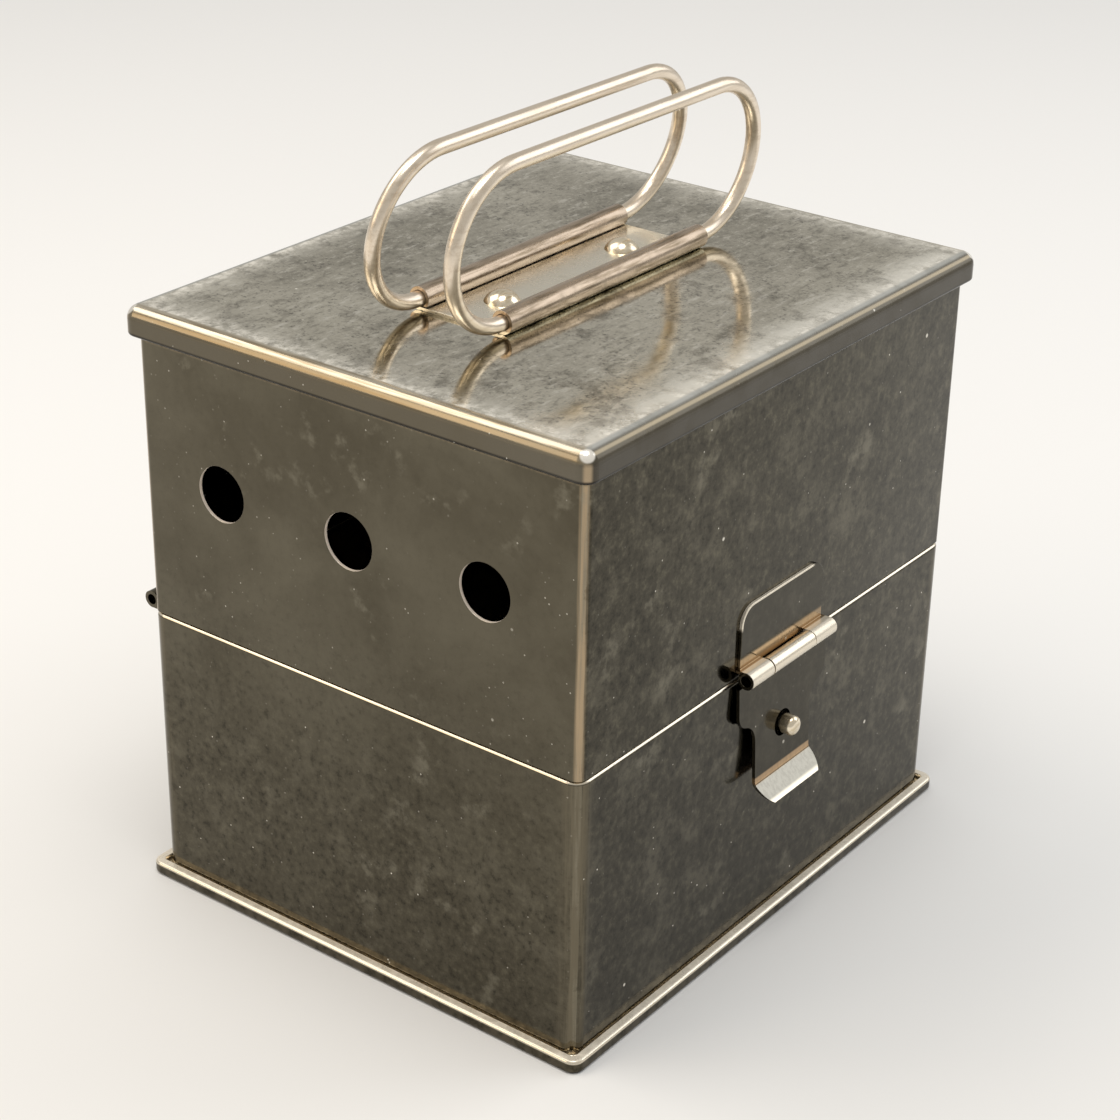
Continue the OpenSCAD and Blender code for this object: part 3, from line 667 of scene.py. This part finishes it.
rough = add(tree, "Math.ADD", rough, add(tree, "Math.MULTIPLY", turned, 0.03))
height = add(tree, "Math.ADD", grain, add(tree, "Math.MULTIPLY", broad, 6.0))
scuff = add(tree, "Math.MULTIPLY", scuff, add(tree, "Math.SUBTRACT", 1.0, turned))
scatter = add(tree, "Math.MAXIMUM", add(tree, "Math.MAXIMUM", dust, scuff),
              add(tree, "Math.MULTIPLY", haze, 0.55))
finish(tree, colour, rough, height, GRAIN_DEPTH, add(tree, "Math.SUBTRACT", 1.0, scatter))
print(stained_and_painted_cap.name, "is mixed from", len(tree.nodes), "nodes")

# %% [markdown]
# ## Wire, rolled strip and turned steel
# The bails are drawn wire, plated bright. The bracket and the hinge leaves are strip, rolled round
# a rod at their edges, and pins, rivets and stud are turned or upset from rod. All of them carry
# faint streaks along the way the metal was worked, here along y, with a little brown grime. One
# function serves them all, and only colours, roughness and the length of the streaks differ.

# %% Worked steel
ALONG_Y = (90, 0, 0)
UNTOUCHED, BROWN_GRIME = "#e6e1d3", "#6a5f4c"


def worked_steel(name, light, dark, rough_low, rough_high, long, grime_share, flat_z=0.0):
    """Small bright parts: streaks along the way the metal was worked, and a little grime.
    Flat metal below flat_z millimetres was never handled, so it stays lighter."""
    material, tree = new_material(name)
    place, x, y, z = coordinates(tree)
    streak = cloud(tree, stretched(tree, place, ALONG_Y, long), 1.1, detail=4, rough=0.6)
    grime = cloud(tree, place, 4.5, detail=5, rough=0.65)
    colour = add(tree, "Mix.RGBA", fade(tree, streak, 0.42, 0.70), light, dark)
    colour = add(tree, "Mix.RGBA", fade(tree, z, flat_z, flat_z - 0.2), colour, UNTOUCHED)
    grimy = fade(tree, grime, 0.56, 0.74, 0, grime_share)
    colour = add(tree, "Mix.RGBA", grimy, colour, BROWN_GRIME)
    rough = fade(tree, grime, 0.3, 0.7, rough_low, rough_high)
    finish(tree, colour, rough, streak, GRAIN_DEPTH)
    print(name, "has a roughness of", rough_low, "to", rough_high)
    return material


BRACKET_FLAT_Z = 143.6
# Wire drawn through a die and plated: long soft streaks, and a lamp that runs along the wire.
bail_wire = worked_steel("drawn_bail_wire", "#ecdfcd", "#dccdb9", 0.28, 0.33, 14, 0.04)
# Strip rolled round a rod: the stretched skin is duller than the flat that the rivets hold.
strip = worked_steel("rolled_bracket_strip", "#b9a895", "#877864", 0.20, 0.32, 10, 0.25,
                     BRACKET_FLAT_Z)
# Strip plated together with the walls: the same dark mirror, with the faintest streaks.
hinge_strip = worked_steel("rolled_hinge_leaf", "#615c50", "#575246", 0.14, 0.22, 12, 0.2)
# Rod that turns in grease, never plated: dark and dull. The dark is partly painted shade, so a bore
# reads as a hole.
pin_steel = worked_steel("greased_pin_and_bore_shade", "#4a4337", "#2b271f", 0.3, 0.45, 4, 0.3)
# Rivets and stud, shaped cold from rod and plated last: the brightest metal on the box.
fitting = worked_steel("bright_fitting", "#efe3cd", "#d3c3a4", 0.16, 0.26, 4, 0.12)

# %% [markdown]
# ## The folded rim
# The bottom plate is turned up round the foot and hammered flat. Its upper ledge took every blow
# and is rubbed by the hands that lift the box, so it is bright but scatters light; that brightness
# is partly a painted highlight. Its outer face stands in the dark between ledge and floor, and its
# colour is painted dark as that shade, with a painted contact shadow along its underside. The
# plate's floor inside the box is painted pale, as painted light. Height alone tells these zones
# apart.

# %% Rim of the foot
LEDGE_Z, HAMMERED_Z, UNDERSIDE_Z, PLATE_TOP = (2.35, 2.75), (2.95, 3.12), (0.7, 0.2), (0.6, 1.0)
FLOOR_X, FLOOR_Y = (59.9, 59.5), (72.2, 71.8)
RIM_LIGHT, RIM_DARK, LEDGE_BRIGHT, PAINTED_CONTACT_SHADOW, INSIDE_FLOOR_PAINTED_LIGHT = (
    "#5c564a", "#3f3b31", "#ece2cf", "#2b2821", "#b0ab9d")
rim, tree = new_material("folded_rim")
place, x, y, z = coordinates(tree)
wear = cloud(tree, place, 3.0, detail=5, rough=0.65)
# Painted shade: the rim's outer face is darkened.
colour = add(tree, "Mix.RGBA", fade(tree, wear, 0.4, 0.65), RIM_LIGHT, RIM_DARK)
# Bright ledge: rubbed metal and a painted highlight.
colour = add(tree, "Mix.RGBA", fade(tree, z, *LEDGE_Z), colour, LEDGE_BRIGHT)
# Painted contact shadow along the rim's underside.
colour = add(tree, "Mix.RGBA", fade(tree, z, *UNDERSIDE_Z), colour, PAINTED_CONTACT_SHADOW)
inside = add(tree, "Math.MULTIPLY", fade(tree, add(tree, "Math.ABSOLUTE", x), *FLOOR_X),
             fade(tree, add(tree, "Math.ABSOLUTE", y), *FLOOR_Y))
inside = add(tree, "Math.MULTIPLY", inside, fade(tree, z, *PLATE_TOP))
# Painted light: the plate's floor inside the box is pale.
colour = add(tree, "Mix.RGBA", inside, colour, INSIDE_FLOOR_PAINTED_LIGHT)
rough = fade(tree, wear, 0.3, 0.7, 0.16, 0.30)
hammered = add(tree, "Math.MULTIPLY", fade(tree, z, *HAMMERED_Z),
               fade(tree, wear, 0.3, 0.6, 0.9, 0.6))
finish(tree, colour, rough, wear, GRAIN_DEPTH, add(tree, "Math.SUBTRACT", 1.0, hammered))
print("the rim's ledge is bright above z", LEDGE_Z[0], "mm")

# %% Which finish each node has
finish_of = {
    "base_bottom": rim, "base_shell": base_wall, "hinge_base_leaf": hinge_strip,
    "hinge_pin": pin_steel, "latch_stud": fitting,
    "lid_shell": lid_wall, "lid_cap": stained_and_painted_cap, "hinge_lid_leaf": hinge_strip,
    "latch_leaf": leaf_plate, "latch_pin": pin_steel, "handle_bracket": strip,
    "rivet_near": fitting, "rivet_far": fitting,
    "latch_tongue": tongue_plate, "bail_front": bail_wire, "bail_rear": bail_wire,
}
print(len(finish_of), "nodes have a finish")

# %% [markdown]
# ## Edges that a file has touched
# Sheet that is sheared and punched is run over with a file, so its edge is a narrow curve that
# always finds a lamp somewhere. The measured solids have sharp edges. Each thin piece is therefore
# copied, its flat faces are joined again, and a bevel a few tenths of a millimetre wide breaks the
# edge. The piece then stands for the solid and moves with the same body.

# %% A piece that rides, and stands for its node
BODY_OF = {node: body for body, nodes in frame["record"]["behaviour"]["bodies"].items()
           for node in nodes}
SHARP = math.radians(35)
MERGE = 0.002 * MM


def stand_in(name, bm, node_name):
    """Makes an object of bm that rides on the node's body and is shown in place of the node."""
    mesh = bpy.data.meshes.new(name)
    bm.to_mesh(mesh)
    bm.free()
    mesh.materials.append(finish_of[node_name])
    mesh.shade_smooth()
    mesh.set_sharp_from_angle(angle=SHARP)
    piece = bpy.data.objects.new(name, mesh)
    bpy.context.scene.collection.objects.link(piece)
    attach(piece, BODY_OF[node_name])
    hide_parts(node_name)
    return piece


# %% Filed copies
FLAT = math.radians(0.5)


def filed(node_name, width):
    """A copy of a node with its cut edges broken to a round, width millimetres wide."""
    bm = bmesh.new()
    bm.from_mesh(frame["nodes"][node_name].data)
    before = len(bm.faces)
    bmesh.ops.remove_doubles(bm, verts=bm.verts, dist=MERGE)
    bmesh.ops.dissolve_limit(bm, angle_limit=FLAT, verts=bm.verts, edges=bm.edges)
    open_edges = sum(not e.is_manifold for e in bm.edges)
    print(node_name, before, "faces became", len(bm.faces), "with", open_edges, "open edges")
    piece = stand_in(node_name + "_filed", bm, node_name)
    rounding = piece.modifiers.new("filed_edges", "BEVEL")
    rounding.width = width * MM
    rounding.segments = 3
    rounding.limit_method = "ANGLE"
    rounding.angle_limit = SHARP
    rounding.harden_normals = True
    return piece


FILED_WIDTH = {"latch_leaf": 0.34, "latch_tongue": 0.2, "lid_shell": 0.12, "handle_bracket": 0.15,
               "base_bottom": 0.1}
filed_pieces = {node_name: filed(node_name, width) for node_name, width in FILED_WIDTH.items()}

# %% [markdown]
# ## The folded foot
# The bottom plate is turned up and hammered down over the wall's flange until its lip lies against
# the wall. The measured solid keeps a slot of a fifth of a millimetre there, as any two solids do.
# In the picture no slot shows, so the lip of this copy is pressed in almost to the wall.

# %% Lip of the foot pressed against the wall
WALLS = ((0, 60.3), (1, 72.6))  # axis, and half the wall's width along it
LIP_GAP, LIP_REACH, LIP_Z = 0.03, 0.35, 2.0
pressed = 0
for vertex in filed_pieces["base_bottom"].data.vertices:
    if vertex.co.z < LIP_Z * MM:
        continue
    for axis, wall in WALLS:
        away = abs(vertex.co[axis]) / MM - wall
        if LIP_GAP < away < LIP_REACH:
            vertex.co[axis] = math.copysign((wall + LIP_GAP) * MM, vertex.co[axis])
            pressed += 1
print(pressed, "coordinates of the lip now lie against the wall")

# %% [markdown]
# ## Stud and pin of the latch
# Both are turned parts, so each is a profile spun round its own axis. The stud has a soft nose
# that guides the tongue's hole over it. The pin stops short of the knuckles' ends, which leaves
# the dark open bore that the rolled sheet shows.

# %% A turned part
SPIN_STEPS = 48


def turned_part(name, node_name, profile, axis, centre):
    """Spins a profile of (distance along the axis, radius) points in millimetres."""
    bm = bmesh.new()
    side = Vector((0, 0, 1))
    points = [bm.verts.new((Vector(axis) * along + side * radius + Vector(centre)) * MM)
              for along, radius in profile]
    edges = [bm.edges.new(pair) for pair in zip(points, points[1:])]
    bmesh.ops.spin(bm, geom=points + edges, cent=Vector(centre) * MM, axis=axis,
                   angle=2 * math.pi, steps=SPIN_STEPS, use_merge=True)
    bmesh.ops.remove_doubles(bm, verts=bm.verts, dist=MERGE)
    bmesh.ops.recalc_face_normals(bm, faces=bm.faces)
    print(name, "has", len(bm.faces), "faces")
    return stand_in(name, bm, node_name)


# %% Stud with a flat tail, a shank through the sheet and a soft nose
STUD_Z, STUD_R, STUD_TIP, NOSE_R, NOSE_STEPS = 52.22, 2.35, 66.3, 1.4, 8
TAIL_X, TAIL_R, SHANK_R = 58.7, 2.1, 1.2
SHEET_IN, SHEET_OUT, FOOT_R, FOOT_X = 59.5, 60.32, 2.2, 60.6
quarter = [math.radians(90 / NOSE_STEPS * i) for i in range(NOSE_STEPS + 1)]
nose = [(STUD_TIP - NOSE_R + NOSE_R * math.sin(a), STUD_R - NOSE_R + NOSE_R * math.cos(a))
        for a in quarter]
tail = [(TAIL_X, 0.0), (TAIL_X, TAIL_R), (SHEET_IN, TAIL_R), (SHEET_IN, SHANK_R),
        (SHEET_OUT, SHANK_R), (SHEET_OUT, FOOT_R), (FOOT_X, STUD_R)]
turned_part("latch_stud_turned", "latch_stud", tail + nose + [(STUD_TIP, 0.0)],
            (1, 0, 0), (0, LATCH_Y, STUD_Z))

# %% Pin with broken ends
PIN_R, PIN_HALF, PIN_END_R, PIN_BREAK = 1.2, 14.6, 0.9, 0.3
pin_profile = [(-PIN_HALF, 0.0), (-PIN_HALF, PIN_END_R), (PIN_BREAK - PIN_HALF, PIN_R),
               (PIN_HALF - PIN_BREAK, PIN_R), (PIN_HALF, PIN_END_R), (PIN_HALF, 0.0)]
turned_part("latch_pin_turned", "latch_pin", pin_profile, (0, 1, 0), (PIN_X, LATCH_Y, PIN_Z))

# %% [markdown]
# ## Finishes on the measured nodes
# The other nine nodes are shown as they were measured. Every node gets its finish, also one that a
# piece stands for, so that the model looks right with or without the pieces.

# %% Finishes on the nodes
for name, material in finish_of.items():
    node = frame["nodes"][name]
    node.data.materials.clear()
    node.data.materials.append(material)
print(len(finish_of), "nodes are dressed")
